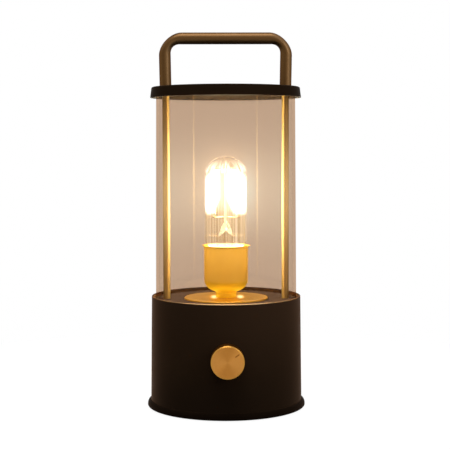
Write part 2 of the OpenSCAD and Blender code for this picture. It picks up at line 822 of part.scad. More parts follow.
module battery_cradle() {
    x = cradle_x + cradle_wall;
    color("#2f2f33") difference() {
        translate([-x, -cradle_y, cover_top]) cube([2 * x, 2 * cradle_y, cradle_top - cover_top]);
        for (s = [-1, 1]) translate([-cradle_x, s * cell_y, cell_z])
            rotate([0, 90, 0]) cylinder(r = cell_d / 2 + fit, h = 2 * cradle_x);
        for (sx = [-1, 1], sy = [-1, 1])
            translate([sx * (cradle_x - tab_t / 2 - fit), sy * cell_y, cradle_top])
                cube([tab_t + 2 * fit, tab_w + 2 * fit, 2 * cradle_over + cell_d / 2], center = true);
    }
}

module battery_cells() {
    can = cell_l - cell_nub_h;
    color("#2d5f8a") for (s = [-1, 1]) translate([0, s * cell_y, cell_z]) rotate([0, 90 * s, 0])
        translate([0, 0, -cell_l / 2]) union() {
            cylinder(d = cell_d, h = can);
            cylinder(r = cell_nub_r, h = cell_l);
        }
}

module battery_tabs() {
    color("silver") for (sx = [-1, 1], sy = [-1, 1])
        translate([sx * battery_lead_x - tab_t / 2, sy * cell_y - tab_w / 2, cell_z - tab_w / 2])
            cube([tab_t, tab_w, tab_top - cell_z + tab_w / 2]);
}

module at_standoffs() {
    for (sx = [-1, 1], y = standoff_y) translate([sx * standoff_x, y, 0]) children();
}

module driver_board() {
    color("#1f5b35") difference() {
        translate([-board_half, board_front, board_z])
            cube([2 * board_half, board_rear - board_front, board_t]);
        at_standoffs() translate([0, 0, board_z - over])
            cylinder(r = board_screw_r + fit, h = board_t + 2 * over);
    }
}

module board_standoffs() {
    color("#b58a45") at_standoffs() difference() {
        translate([0, 0, cover_top]) cylinder(r = standoff_r, h = board_z - cover_top);
        translate([0, 0, board_z - standoff_bore])
            cylinder(r = board_screw_r + running, h = standoff_bore + over);
    }
}

module board_screws() {
    color("silver") at_standoffs() union() {
        translate([0, 0, board_top]) cylinder(r = board_head_r, h = board_head_h);
        translate([0, 0, board_z - board_bite])
            cylinder(r = board_screw_r, h = board_bite + board_t + board_head_h);
    }
}

module usb_socket() {
    color("silver") union() {
        difference() {
            port_prism(usb_w, usb_h, usb_back, usb_mouth);
            port_prism(usb_w - 2 * usb_wall, usb_h - 2 * usb_wall, usb_back + usb_back_t, usb_mouth + over);
        }
        translate([-usb_tongue_w / 2, usb_back + usb_back_t / 2, port_z - usb_tongue_h / 2])
            cube([usb_tongue_w, usb_tongue_l, usb_tongue_h]);
    }
}

module port_bezel() {
    color("#161616") difference() {
        union() {
            port_prism(bezel_w, bezel_h, bezel_flange_y - over / 2, bezel_out);
            port_prism(bezel_w + 2 * bezel_flange, bezel_h + 2 * bezel_flange,
                bezel_flange_y - bezel_flange_t, bezel_flange_y);
        }
        port_prism(usb_w + 2 * fit, usb_h + 2 * fit, usb_back - over, bezel_out + over);
    }
}

module lamp_leads() {
    color("firebrick") for (s = [-1, 1]) lead(lamp_route(s));
}

module dimmer_leads() {
    color("goldenrod") for (k = [-1:1]) lead(dimmer_route(k * terminal_step));
}

module battery_leads() {
    color("#202020") for (s = [-1, 1]) lead(battery_route(s));
}

base_housing();
foot_ring();
bottom_cover();
anti_slip_pad();
cover_screws();
deck_plate();
deck_screws();
glass_chimney();
lower_gasket();
upper_gasket();
top_cap();
handle();
handle_bush(-1);  // handle_bush_left
handle_bush(1);  // handle_bush_right
tie_rod(-1);  // tie_rod_left
tie_rod(1);  // tie_rod_right
rod_washers();
rod_nuts();
brass_disc();
lampholder_cup();
lampholder_nipple();
nipple_nut();
lampholder_body();
lampholder_shell();
lampholder_contact();
bulb_envelope();
bulb_stem();
bulb_screw_cap();
bulb_insulator();
bulb_contact_tip();
bulb_driver();
led_filaments();
filament_ferrules();
filament_wires();
dimmer_knob();
dimmer_shaft();
knob_set_screw();
dimmer_body();
dimmer_washer();
dimmer_nut();
battery_cradle();
battery_cells();
battery_tabs();
driver_board();
board_standoffs();
board_screws();
usb_socket();
port_bezel();
lamp_leads();
dimmer_leads();
battery_leads();
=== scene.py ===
"""Dresses the lantern's CAD frame with finished surfaces, a lit bulb, a camera and a plain studio."""

import math
from collections import namedtuple

import bmesh
import bpy
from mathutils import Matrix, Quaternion, Vector


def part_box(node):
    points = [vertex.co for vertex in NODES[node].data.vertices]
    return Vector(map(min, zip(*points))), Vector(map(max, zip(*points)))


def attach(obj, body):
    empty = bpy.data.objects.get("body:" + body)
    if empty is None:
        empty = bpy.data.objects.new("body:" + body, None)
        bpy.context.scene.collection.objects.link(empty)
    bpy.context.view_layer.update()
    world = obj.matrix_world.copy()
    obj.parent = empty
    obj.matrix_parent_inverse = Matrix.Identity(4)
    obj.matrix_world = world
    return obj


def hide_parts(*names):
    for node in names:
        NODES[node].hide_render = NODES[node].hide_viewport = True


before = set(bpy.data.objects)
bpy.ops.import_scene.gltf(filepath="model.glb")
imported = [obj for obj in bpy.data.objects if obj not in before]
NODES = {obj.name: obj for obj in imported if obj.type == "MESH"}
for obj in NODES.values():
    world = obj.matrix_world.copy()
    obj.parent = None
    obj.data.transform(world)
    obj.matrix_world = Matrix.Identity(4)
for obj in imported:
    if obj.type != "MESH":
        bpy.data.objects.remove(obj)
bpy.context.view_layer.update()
MM = 0.001
Axes = namedtuple("Axes", ("x", "y", "z"))


def box_mm(node):
    """Lowest and highest corners of a CAD node, in millimetres."""
    low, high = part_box(node)
    return Vector(low) / MM, Vector(high) / MM


# Sizes in millimetres, from the frame where it gives them
knob_low, knob_high = box_mm("dimmer_knob")
cup_low, cup_high = box_mm("lampholder_cup")
bulb_low, bulb_high = box_mm("bulb_envelope")
handle_low, handle_high = box_mm("handle")
strip_low, strip_high = box_mm("led_filaments")
glass_low, glass_high = box_mm("glass_chimney")
KNOB_Z = (knob_low.z + knob_high.z) / 2
KNOB_R = knob_high.x
KNOB_FACE_Y = knob_low.y
KNOB_CHAMFER = 1.0
KNOB_GROOVE = 0.3
CUP_FOOT_Z = cup_low.z
CUP_TOP_Z = cup_high.z
CUP_RIM_R = cup_high.x
CUP_FLARE = 1.8
CUP_FLARE_H = 4.0
CUP_R = CUP_RIM_R - CUP_FLARE
CUP_WALL = 0.9
CUP_NECK_R = 9.5
CUP_NECK_H = 4.4
CUP_FLOOR_H = 7.6
CUP_BOWL_R = 11.0
CUP_BOWL_H = 16.0
CUP_BOWL_DROP = 10.2
CUP_BORE_R = 5.2
CUP_FILLET = 0.75
BULB_R = bulb_high.x
BULB_WALL = 1.0
BULB_NECK_R = 11.6
BULB_NECK_Z = bulb_low.z
BULB_SHOULDER_Z = (BULB_NECK_Z + 5.0, BULB_NECK_Z + 16.0)
BULB_TOP_Z = bulb_high.z
BULB_DOME_H = 17.0
STRIP_Z = (strip_low.z, strip_high.z)
STRIP_MID_Z = sum(STRIP_Z) / 2
STEM_BELL_H = 26.7
STEM_BELL_Z = box_mm("bulb_stem")[0].z + STEM_BELL_H
BASE_WALL = 2.0
BASE_RIM_R = 68.0
BASE_RIM_Z = box_mm("base_housing")[1].z
DISC_R = box_mm("brass_disc")[1].x
GLASS_R = glass_high.x
GLASS_Z = (glass_low.z, glass_high.z)
GLASS_WALL = 2.5
GLASS_DRAFT = 1.2
HANDLE_R = (handle_high.y - handle_low.y) / 2
HANDLE_X = handle_high.x - HANDLE_R
HANDLE_FOOT_Z = handle_low.z
HANDLE_BAR_Z = handle_high.z - HANDLE_R
HANDLE_BEND = 15.0

# Spans that noise mostly keeps to
NOISE = (0.3, 0.7)
WIDE_NOISE = (0.25, 0.75)


# Mesh helpers

def add_object(name, bm):
    """Turns a bmesh into a linked, smooth object with outward normals."""
    bmesh.ops.recalc_face_normals(bm, faces=bm.faces)
    mesh = bpy.data.meshes.new(name)
    bm.to_mesh(mesh)
    bm.free()
    for polygon in mesh.polygons:
        polygon.use_smooth = True
    obj = bpy.data.objects.new(name, mesh)
    bpy.context.collection.objects.link(obj)
    return obj


def arc(centre, rx, rz, start, end, steps):
    """Points of an elliptic arc, in degrees."""
    points = []
    for i in range(steps + 1):
        a = math.radians(start + (end - start) * i / steps)
        points.append((centre[0] + rx * math.cos(a), centre[1] + rz * math.sin(a)))
    return points


def lathe(name, profile, segments):
    """Spins a closed profile of (radius, height) points, in millimetres, about Z."""
    bm = bmesh.new()
    rings = []
    for r, z in profile:
        if r == 0:
            rings.append([bm.verts.new((0, 0, z * MM))])
            continue
        ring = []
        for k in range(segments):
            a = 2 * math.pi * k / segments
            ring.append(bm.verts.new((r * MM * math.cos(a), r * MM * math.sin(a), z * MM)))
        rings.append(ring)
    for low, high in zip(rings, rings[1:] + rings[:1]):
        if len(low) == 1 and len(high) == 1:
            continue
        for k in range(segments):
            n = (k + 1) % segments
            if len(low) == 1:
                bm.faces.new((low[0], high[n], high[k]))
            elif len(high) == 1:
                bm.faces.new((low[k], low[n], high[0]))
            else:
                bm.faces.new((low[k], low[n], high[n], high[k]))
    return add_object(name, bm)


def sharpen(obj, angle):
    """Keeps edges sharper than the angle, in degrees, crisp under smooth shading."""
    obj.data.set_sharp_from_angle(angle=math.radians(angle))


# Material helpers

def scaled(colour, share):
    """A colour times a share."""
    return tuple(c * share for c in colour)


class Look:
    """A material under construction, with its Principled shader at hand."""

    def __init__(self, name):
        self.material = bpy.data.materials.new(name)
        self.material.use_nodes = True
        self.tree = self.material.node_tree
        self.shader = self.tree.nodes["Principled BSDF"]
        self.surface = self.tree.nodes["Material Output"].inputs["Surface"]
        self.coords = self.add("ShaderNodeTexCoord").outputs

    def add(self, kind, **settings):
        """A new node with the given settings."""
        node = self.tree.nodes.new(kind)
        for key, value in settings.items():
            setattr(node, key, value)
        return node

    def feed(self, socket, value):
        """Gives a socket a colour, a number or the output of a node."""
        if isinstance(value, tuple):
            socket.default_value = (*value, 1)
        elif isinstance(value, (int, float)):
            socket.default_value = value
        else:
            self.tree.links.new(value, socket)

    def set(self, **values):
        """Feeds the shader's sockets, named with underscores for spaces."""
        for key, value in values.items():
            self.feed(self.shader.inputs[key.replace("_", " ")], value)

    def math(self, operation, *values, clamp=False):
        """One step of arithmetic."""
        node = self.add("ShaderNodeMath", operation=operation, use_clamp=clamp)
        for socket, value in zip(node.inputs, values):
            self.feed(socket, value)
        return node.outputs[0]

    def times(self, first, *others):
        for value in others:
            first = self.math("MULTIPLY", first, value)
        return first

    def plus(self, first, *others):
        for value in others:
            first = self.math("ADD", first, value)
        return first

    def minus(self, a, b):
        return self.math("SUBTRACT", a, b)

    def absolute(self, value):
        return self.math("ABSOLUTE", value)

    def larger(self, a, b):
        return self.math("MAXIMUM", a, b)

    def radius(self, a, b):
        return self.math("SQRT", self.plus(self.times(a, a), self.times(b, b)))

    def bell(self, value, centre, width):
        """A bell curve that is 1 at its centre."""
        away = self.math("DIVIDE", self.minus(value, centre), width)
        return self.math("POWER", math.e, self.times(away, away, -1))

    def ramp(self, value, span, levels=(0, 1), smooth=True):
        """Takes a value that crosses the span from the first level to the second."""
        node = self.add("ShaderNodeMapRange", interpolation_type="SMOOTHSTEP" if smooth else "LINEAR")
        self.feed(node.inputs["Value"], value)
        for key, number in zip(("From Min", "From Max", "To Min", "To Max"), (*span, *levels)):
            node.inputs[key].default_value = number
        return node.outputs["Result"]

    def split(self, vector):
        node = self.add("ShaderNodeSeparateXYZ")
        self.feed(node.inputs[0], vector)
        return Axes(*node.outputs)

    def combine(self, *parts):
        node = self.add("ShaderNodeCombineXYZ")
        for socket, part in zip(node.inputs, parts):
            self.feed(socket, part)
        return node.outputs[0]

    def normal(self):
        return self.split(self.coords["Normal"])

    def position(self):
        """Place on the object, in millimetres."""
        node = self.add("ShaderNodeVectorMath", operation="SCALE")
        self.feed(node.inputs["Vector"], self.coords["Object"])
        self.feed(node.inputs["Scale"], 1 / MM)
        return self.split(node.outputs["Vector"])

    def noise(self, scale, detail, rough=0.55, stretch=(1, 1, 1), vector=None):
        """Noise with so many waves a metre, or a unit of the given vector, times the stretch."""
        mapping = self.add("ShaderNodeMapping")
        mapping.inputs["Scale"].default_value = stretch
        self.feed(mapping.inputs["Vector"], vector or self.coords["Object"])
        node = self.add("ShaderNodeTexNoise")
        self.feed(node.inputs["Vector"], mapping.outputs[0])
        for key, number in (("Scale", scale), ("Detail", detail), ("Roughness", rough)):
            node.inputs[key].default_value = number
        return node.outputs["Fac"]

    def colours(self, value, *stops):
        """A colour ramp through (position, colour) stops."""
        node = self.add("ShaderNodeValToRGB")
        elements = node.color_ramp.elements
        while len(elements) < len(stops):
            elements.new(0.5)
        for element, (position, colour) in zip(elements, stops):
            element.position = position
            element.color = (*colour, 1)
        self.feed(node.inputs[0], value)
        return node.outputs[0]

    def mix(self, factor, a, b):
        """Colour a turning into colour b."""
        node = self.add("ShaderNodeMix", data_type="RGBA")
        for key, value in (("Factor", factor), ("A", a), ("B", b)):
            self.feed(node.inputs[key], value)
        return node.outputs["Result"]

    def mix_shaders(self, factor, a, b):
        node = self.add("ShaderNodeMixShader")
        for socket, value in zip(node.inputs, (factor, a, b)):
            self.feed(socket, value)
        return node.outputs[0]

    def mottle(self, noise, dark, light, span=NOISE):
        """Base colour that drifts with noise."""
        low, high = span
        self.set(Base_Color=self.colours(noise, (low, dark), (high, light)))

    def retouch(self, where, colour):
        """Lays a second base colour over the first, where the given mask is 1."""
        first = self.shader.inputs["Base Color"].links[0].from_socket
        self.set(Base_Color=self.mix(where, first, colour))

    def bump(self, height, depth, strength):
        """Relief of the given depth in millimetres."""
        node = self.add("ShaderNodeBump")
        for key, value in (("Strength", strength), ("Distance", depth * MM), ("Height", height)):
            self.feed(node.inputs[key], value)
        self.set(Normal=node.outputs[0])

    def spin_grain(self, axis, amount, turn):
        """Stretches highlights on turned metal, along the axis or out from it."""
        tangent = self.add("ShaderNodeTangent", direction_type="RADIAL", axis=axis)
        self.set(Tangent=tangent.outputs[0], Anisotropic=amount, Anisotropic_Rotation=turn)

    def let_lamps_through(self, tint):
        """Lets lamp light pass glass unbent, tinted as it goes."""
        clear = self.add("ShaderNodeBsdfTransparent")
        self.feed(clear.inputs["Color"], tint)
        shadow = self.add("ShaderNodeLightPath").outputs["Is Shadow Ray"]
        self.feed(self.surface, self.mix_shaders(shadow, self.shader.outputs[0], clear.outputs[0]))


def dress(look, *names):
    """Gives CAD nodes a material in place of their plain slots."""
    for name in names:
        mesh = NODES[name].data
        mesh.materials.clear()
        mesh.materials.append(look.material)


def finish_piece(obj, look, body, slot, *nodes):
    """Gives a rebuilt piece its material and body and hides the CAD nodes it stands for. The slot
    argument is not used.
    """
    obj.data.materials.append(look.material)
    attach(obj, body)
    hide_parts(*nodes)


# Paints and plain finishes

def satin_paint(name, dark, light, rough, sheen, gloss):
    """Satin powder coat: a faint orange peel, a warm sheen and a slow drift of tone."""
    look = Look(name)
    look.set(Metallic=0.0, Specular_IOR_Level=gloss, Specular_Tint=(1.0, 0.75, 0.55))
    look.set(Sheen_Weight=sheen, Sheen_Roughness=0.4, Sheen_Tint=(1.0, 0.53, 0.29))
    look.mottle(look.noise(scale=18, detail=4), dark, light)
    patches = look.noise(scale=60, detail=3)
    look.set(Roughness=look.ramp(patches, NOISE, (rough - 0.04, rough + 0.05)))
    look.bump(look.noise(scale=900, detail=2), depth=0.12, strength=0.35)
    return look


def base_paint():
    """The base's paint, with painted light high up and to the right and painted shade low down and to the
    left.
    """
    pale = (0.036, 0.0195, 0.0108)
    painted_light_z = (30, 100)
    painted_light_x = (-40, 50)
    painted_light_shares = (0.35, 1)
    painted_shade = (0.0115, 0.0068, 0.0040)
    painted_shade_z = (50, 12)
    painted_shade_x = (50, -20)
    painted_shade_shares = (0.5, 1)
    look = satin_paint("base_paint", dark=(0.0165, 0.0090, 0.0046), light=(0.0205, 0.0115, 0.0062),
                       rough=0.42, sheen=0.16, gloss=0.002)
    at = look.position()
    # Painted light: the paint is lighter high up and to the right.
    look.retouch(look.times(look.ramp(at.z, painted_light_z), look.ramp(at.x, painted_light_x, painted_light_shares)), pale)
    # Painted shade: the paint is darker low down and to the left.
    look.retouch(look.times(look.ramp(at.z, painted_shade_z), look.ramp(at.x, painted_shade_x, painted_shade_shares)), painted_shade)
    paint_bore_light(look, at)
    paint_rim_highlight(look, at)
    return look


def paint_bore_light(look, at):
    """Painted light on the paint inside the top of the base's wall, above the deck."""
    shade = (0.045, 0.036, 0.025)
    past_bore = (0.4, 0.2)
    below_rim = (-4, -3)
    bore = BASE_RIM_R - BASE_WALL
    within = look.ramp(look.minus(look.radius(at.x, at.y), bore), past_bore)
    above = look.ramp(look.minus(at.z, BASE_RIM_Z), below_rim)
    # Painted light: the top of the wall's inside is lighter and greyer where the bulb lights it.
    look.retouch(look.times(within, above), shade)


def paint_rim_highlight(look, at):
    """Painted highlight along the top edge of the base's rim: brightest in front, tan at the sides,
    weaker on the left, and dark behind.
    """
    back = (0.022, 0.0145, 0.0075)
    side = (0.16, 0.11, 0.055)
    front = (0.50, 0.36, 0.20)
    side_y = (-22, -50)
    front_x = (44, 24)
    front_y = (0, -30)
    left_x = (-10, -45)
    left_shares = (0, 0.4)
    below_rim = (-0.6, -0.3)
    edge = look.mix(look.ramp(at.y, side_y), back, side)
    in_front = look.times(look.ramp(look.absolute(at.x), front_x), look.ramp(at.y, front_y))
    edge = look.mix(in_front, edge, front)
    edge = look.mix(look.ramp(at.x, left_x, left_shares), edge, back)
    # Painted highlight: the rim's top edge is painted bright where the bulb's light catches it.
    look.retouch(look.ramp(look.minus(at.z, BASE_RIM_Z), below_rim), edge)


def cap_paint():
    """The cap's paint, with painted light from the bulb, lighter and greyer in patches, on the inner
    faces that look at the bulb.
    """
    grey = (0.075, 0.097, 0.130)
    turned_in = (-0.3, -0.7)
    turned_down = (-0.5, -0.9)
    patchy_shares = (0.75, 1)
    look = satin_paint("cap_paint", dark=(0.0142, 0.0078, 0.0040), light=(0.0176, 0.0098, 0.0052),
                       rough=0.42, sheen=0.02, gloss=0.002)
    at = look.position()
    facing = look.normal()
    outward = look.plus(look.times(at.x, facing.x), look.times(at.y, facing.y))
    outward = look.math("DIVIDE", outward, look.radius(at.x, at.y))
    inner = look.larger(look.ramp(outward, turned_in), look.ramp(facing.z, turned_down))
    patchy = look.ramp(look.noise(scale=120, detail=3), NOISE, patchy_shares)
    # Painted light: the inner faces are painted lighter where the bulb lights them.
    look.retouch(look.times(inner, patchy), grey)
    return look


def plain(name, colour, rough, metallic=0.0, grain=300):
    """A moulded or plated surface with so many grains a metre."""
    dim_share = 0.82
    bright_share = 1.12
    look = Look(name)
    look.set(Metallic=metallic)
    drift = look.noise(grain / 8, detail=3)
    look.mottle(drift, scaled(colour, dim_share), scaled(colour, bright_share))
    look.set(Roughness=look.ramp(look.noise(grain, detail=2), NOISE, (rough - 0.06, rough + 0.08)))
    look.bump(look.noise(grain * 2, detail=2), depth=0.05, strength=0.3)
    return look


# Brass

def brass(name, dark, light, edge, rough, metal, stretch):
    """Brushed brass whose grain runs across the given stretch and whose edges turn to the given tint."""
    tone_span = (0.32, 0.66)
    line_share = 0.45
    look = Look(name)
    look.set(Metallic=metal, Specular_IOR_Level=0.2, Specular_Tint=edge)
    drift = look.noise(scale=22, detail=4)
    lines = look.noise(scale=1, detail=3, rough=0.6, stretch=stretch)
    tone = look.plus(look.times(lines, line_share), look.times(drift, 1 - line_share))
    look.mottle(tone, dark, light, tone_span)
    look.set(Roughness=look.ramp(lines, WIDE_NOISE, (rough - 0.07, rough + 0.08)))
    look.bump(lines, depth=0.04, strength=0.5)
    return look


def rod_brass():
    """Polished rods that catch the strips' light on the side facing the bulb, most of it behind."""
    lit_side = (0.38, 0.325, 0.115)
    lamplight = (1.0, 0.82, 0.47)
    facing_bulb = (0.25, 0.75)
    glow_h = 48
    glow_levels = (0.40, 2.20)
    facing_back = (0.0, 0.5)
    partly_inward = (0.1, 0.5)
    streak_h = 62
    streak_rise = 14
    streak_level = 4.6
    look = brass("rod_brass", dark=(0.34, 0.24, 0.086), light=(0.42, 0.30, 0.125),
                 edge=(0.4, 0.28, 0.12), rough=0.42, metal=0.8, stretch=(900, 900, 1400))
    look.spin_grain("Z", amount=0.9, turn=0.25)
    at = look.position()
    facing = look.normal()
    inward = look.times(look.math("SIGN", at.x), facing.x, -1)
    look.retouch(look.ramp(inward, facing_bulb), lit_side)
    glow = look.times(look.bell(at.z, STRIP_MID_Z, glow_h), look.ramp(inward, facing_bulb, glow_levels))
    behind = look.times(look.ramp(facing.y, facing_back), look.ramp(inward, partly_inward))
    streak = look.times(look.bell(at.z, STRIP_MID_Z + streak_rise, streak_h), behind, streak_level)
    look.set(Emission_Strength=look.plus(glow, streak), Emission_Color=lamplight)
    return look


def cup_brass():
    """Spun brass with painted light: painted shade low on the side, the bowl and the neck painted
    brighter and deeper in colour, and painted lamplight glowing from the disc below.
    """
    side = (0.76, 0.53, 0.100)
    side_h = (40, 22)
    side_shares = (0, 0.7)
    bowl = (0.93, 0.70, 0.070)
    bowl_h = (17, 13)
    neck = (0.98, 0.74, 0.085)
    neck_h = (9, 5)
    neck_level = 0.08
    lamplight = (1.0, 0.78, 0.034)
    glow_h = 8.5
    glow_spread = 3
    glow_level = 0.47
    look = brass("cup_brass", dark=(0.78, 0.56, 0.115), light=(0.88, 0.66, 0.165),
                 edge=(0.9, 0.6, 0.2), rough=0.40, metal=0.6, stretch=(6, 6, 2600))
    height = look.minus(look.position().z, CUP_FOOT_Z)
    at_neck = look.ramp(height, neck_h)
    # Painted shade: the side is darker low down.
    look.retouch(look.ramp(height, side_h, side_shares), side)
    # Painted light: the bowl and the neck are brighter, as lit from the disc below.
    look.retouch(look.ramp(height, bowl_h), bowl)
    look.retouch(at_neck, neck)
    # Painted light: the cup glows, though it is no lamp.
    glow = look.times(look.bell(height, glow_h, glow_spread), glow_level)
    glow = look.plus(glow, look.times(at_neck, neck_level))
    look.set(Emission_Strength=glow, Emission_Color=lamplight)
    return look


def disc_brass():
    """Turned brass with a bright edge, painted shade under the cup, and a painted reflection of the cup,
    warmer in front of and behind it.
    """
    middle = (0.46, 0.340, 0.108)
    under_cup_r = (35, 26)
    under_cup_shares = (0, 0.85)
    cup_reflection_far = (0.66, 0.420, 0.044)
    cup_reflection_near = (0.54, 0.345, 0.034)
    cup_reflection_r = (24, 14)
    cup_reflection_x = (20, 6)
    cup_reflection_shares = (0, 0.9)
    edge = (0.62, 0.43, 0.105)
    edge_inset = (-2.4, -1.4)
    look = brass("disc_brass", dark=(0.44, 0.335, 0.125), light=(0.54, 0.420, 0.18),
                 edge=(0.8, 0.5, 0.15), rough=0.36, metal=0.6, stretch=(900, 900, 900))
    at = look.position()
    radius = look.radius(at.x, at.y)
    # Painted shade: the disc is darker towards the middle, under the cup.
    look.retouch(look.ramp(radius, under_cup_r, under_cup_shares), middle)
    # Painted reflection: the cup's colour lies warmer along the disc in front of and behind the cup.
    warm = look.mix(look.ramp(radius, cup_reflection_r), cup_reflection_far, cup_reflection_near)
    look.retouch(look.ramp(look.absolute(at.x), cup_reflection_x, cup_reflection_shares), warm)
    look.retouch(look.ramp(look.minus(radius, DISC_R), edge_inset), edge)
    light_disc(look, at, radius)
    return look


def light_disc(look, at, radius):
    """Two glints of lamplight on the disc, beside the cup's neck, in a dim glow."""
    ember = (1.0, 0.55, 0.03)
    lamplight = (1.0, 0.86, 0.50)
    glow_r = (26, 12)
    glow_levels = (0, 0.15)
    glint_middle = 1.1
    glint_x = 12.0
    glint_y = 0.5
    glint_r = 7.0
    glint_stretch = 0.24
    glint_falloff = 2.5
    glint_level = 2.0
    across = look.minus(look.absolute(look.minus(at.x, glint_middle)), glint_x)
    along = look.times(look.minus(at.y, glint_y), glint_stretch)
    spot = look.ramp(look.radius(across, along), (glint_r, 0))
    glint = look.times(look.math("POWER", spot, glint_falloff), glint_level)
    glow = look.ramp(radius, glow_r, glow_levels)
    tint = look.mix(look.math("MINIMUM", glint, 1), ember, lamplight)
    look.set(Emission_Strength=look.plus(glint, glow), Emission_Color=tint)


def antique_brass():
    """Dark patina with painted light: lighter along the top and the underside of the tube than on its
    sides, with painted shade left of the middle and painted light right of it.
    """
    under = (0.200, 0.120, 0.050)
    side = (0.125, 0.062, 0.021)
    top = (0.195, 0.116, 0.057)
    left_shade = (0.070, 0.033, 0.010)
    left_share = 0.7
    right_light = (0.185, 0.110, 0.052)
    right_share = 0.6
    smears = (-0.07, 0.07)
    specks = (-0.03, 0.03)
    dull_to_rubbed = (0.46, 0.34)
    look = Look("antique_brass")
    look.set(Metallic=0.8, Specular_IOR_Level=0.2, Specular_Tint=(0.30, 0.18, 0.08))
    facing = look.normal()
    # Painted light: the tone follows which way the surface faces, lighter on top and underneath.
    facing_up = look.ramp(facing.z, (-1, 1), smooth=False)
    smear = look.ramp(look.noise(scale=70, detail=4, rough=0.6), WIDE_NOISE, smears, smooth=False)
    speck = look.ramp(look.noise(scale=420, detail=3, rough=0.6), NOISE, specks, smooth=False)
    tone = look.math("ADD", look.plus(facing_up, smear), speck, clamp=True)
    look.set(Base_Color=look.colours(tone, (0.05, under), (0.5, side), (0.95, top)))
    look.retouch(look.times(look.bell(facing.x, centre=-0.25, width=0.35), left_share), left_shade)
    look.retouch(look.times(look.bell(facing.x, centre=0.5, width=0.25), right_share), right_light)
    look.set(Roughness=look.ramp(tone, (0, 1), dull_to_rubbed))
    look.bump(look.noise(scale=520, detail=3), depth=0.05, strength=0.35)
    return look


def knob_brass():
    """Turned brass: rings on the face, a paler chamfer, a dark groove and fine lines round the side."""
    chamfer = (0.50, 0.245, 0.048)
    groove = (0.25, 0.098, 0.014)
    side = (0.085, 0.030, 0.005)
    rings_per_mm = 5.2
    lines_per_mm = 2.6
    rough_levels = (0.30, 0.46)
    chamfer_rough = 0.05
    soft = 0.2
    look = Look("knob_brass")
    look.set(Metallic=1.0, Specular_Tint=(0.6, 0.38, 0.15))
    at = look.position()
    up = look.minus(at.z, KNOB_Z)
    radius = look.radius(at.x, up)
    turned = look.combine(look.times(radius, rings_per_mm), look.times(at.y, lines_per_mm))
    lines = look.noise(scale=1, detail=3, rough=0.6, vector=turned)
    tone = knob_tone(look, at, up, radius, lines)
    look.mottle(tone, dark=(0.375, 0.155, 0.028), light=(0.50, 0.222, 0.048))
    rim = KNOB_R - KNOB_CHAMFER - soft / 2
    front = KNOB_FACE_Y + KNOB_CHAMFER
    floor = KNOB_FACE_Y + KNOB_GROOVE
    at_chamfer = look.times(look.ramp(radius, (rim, rim + soft)), look.ramp(at.y, (front, front - soft)))
    in_rim = look.ramp(radius, (rim, rim - 3 * soft))
    look.retouch(at_chamfer, chamfer)
    look.retouch(look.times(look.ramp(at.y, (floor - soft, floor)), in_rim), groove)
    look.retouch(look.ramp(at.y, (front + soft / 2, front + 3 * soft / 2)), side)
    rough = look.ramp(lines, WIDE_NOISE, rough_levels)
    look.set(Roughness=look.plus(rough, look.times(at_chamfer, chamfer_rough)))
    look.bump(lines, depth=0.04, strength=0.5)
    look.spin_grain("Y", amount=0.8, turn=0.25)
    return look


def knob_tone(look, at, up, radius, lines):
    """Tone of the knob's face: turned lines, a slow drift and a painted highlight in a bow tie that is
    lighter at both sides.
    """
    line_share = 0.5
    painted_highlight_share = 0.20
    centre_area = 1.0
    drift = look.noise(scale=60, detail=3)
    spread = look.minus(look.times(at.x, at.x), look.times(up, up))
    bow = look.math("DIVIDE", spread, look.plus(look.times(radius, radius), centre_area))
    turned = look.plus(look.times(lines, line_share), look.times(drift, 1 - line_share))
    # Painted highlight: the bow tie lightens the face at both sides.
    return look.plus(turned, look.times(bow, painted_highlight_share))


# Glass and light

def glass_tint(look, facing, tint):
    """Tint of the chimney's outer face, which deepens where the view slants.

    Past the bore only the outer face is left to tint the view, so it takes both faces' share there.
    """
    square_on = 0.50
    slanted = 0.64
    slant_share = 0.97
    slant = scaled(tint, slant_share)
    both_faces = tuple(t * t for t in tint)
    bore_edge = 1 - math.sqrt(1 - (1 - GLASS_WALL / GLASS_R) ** 2)
    return look.colours(facing, (square_on, tint), (slanted, slant), (bore_edge - 0.02, slant),
                        (bore_edge + 0.01, both_faces))


def light_far_wall(look, at, facing, share):
    """The bulb's glow on the glass behind it, with a pale bloom on the right.

    The shader that carries it has only a small share of the surface, and the level makes up for that.
    """
    glow_colour = (0.80, 0.95, 0.87)
    glow_h = 44
    slanting = (0.35, 0.75)
    slant_levels = (1, 0.3)
    bloom_colour = (0.42, 0.86, 1.0)
    bloom_x = 22
    bloom_w = 9
    bloom_h = 26
    level = 0.25
    glow = look.times(look.bell(at.z, STRIP_MID_Z, glow_h), look.ramp(facing, slanting, slant_levels))
    bloom = look.times(look.bell(at.x, bloom_x, bloom_w), look.bell(at.z, STRIP_MID_Z, bloom_h))
    look.set(Emission_Strength=look.times(look.plus(glow, bloom), level / share))
    look.set(Emission_Color=look.mix(bloom, glow_colour, bloom_colour))


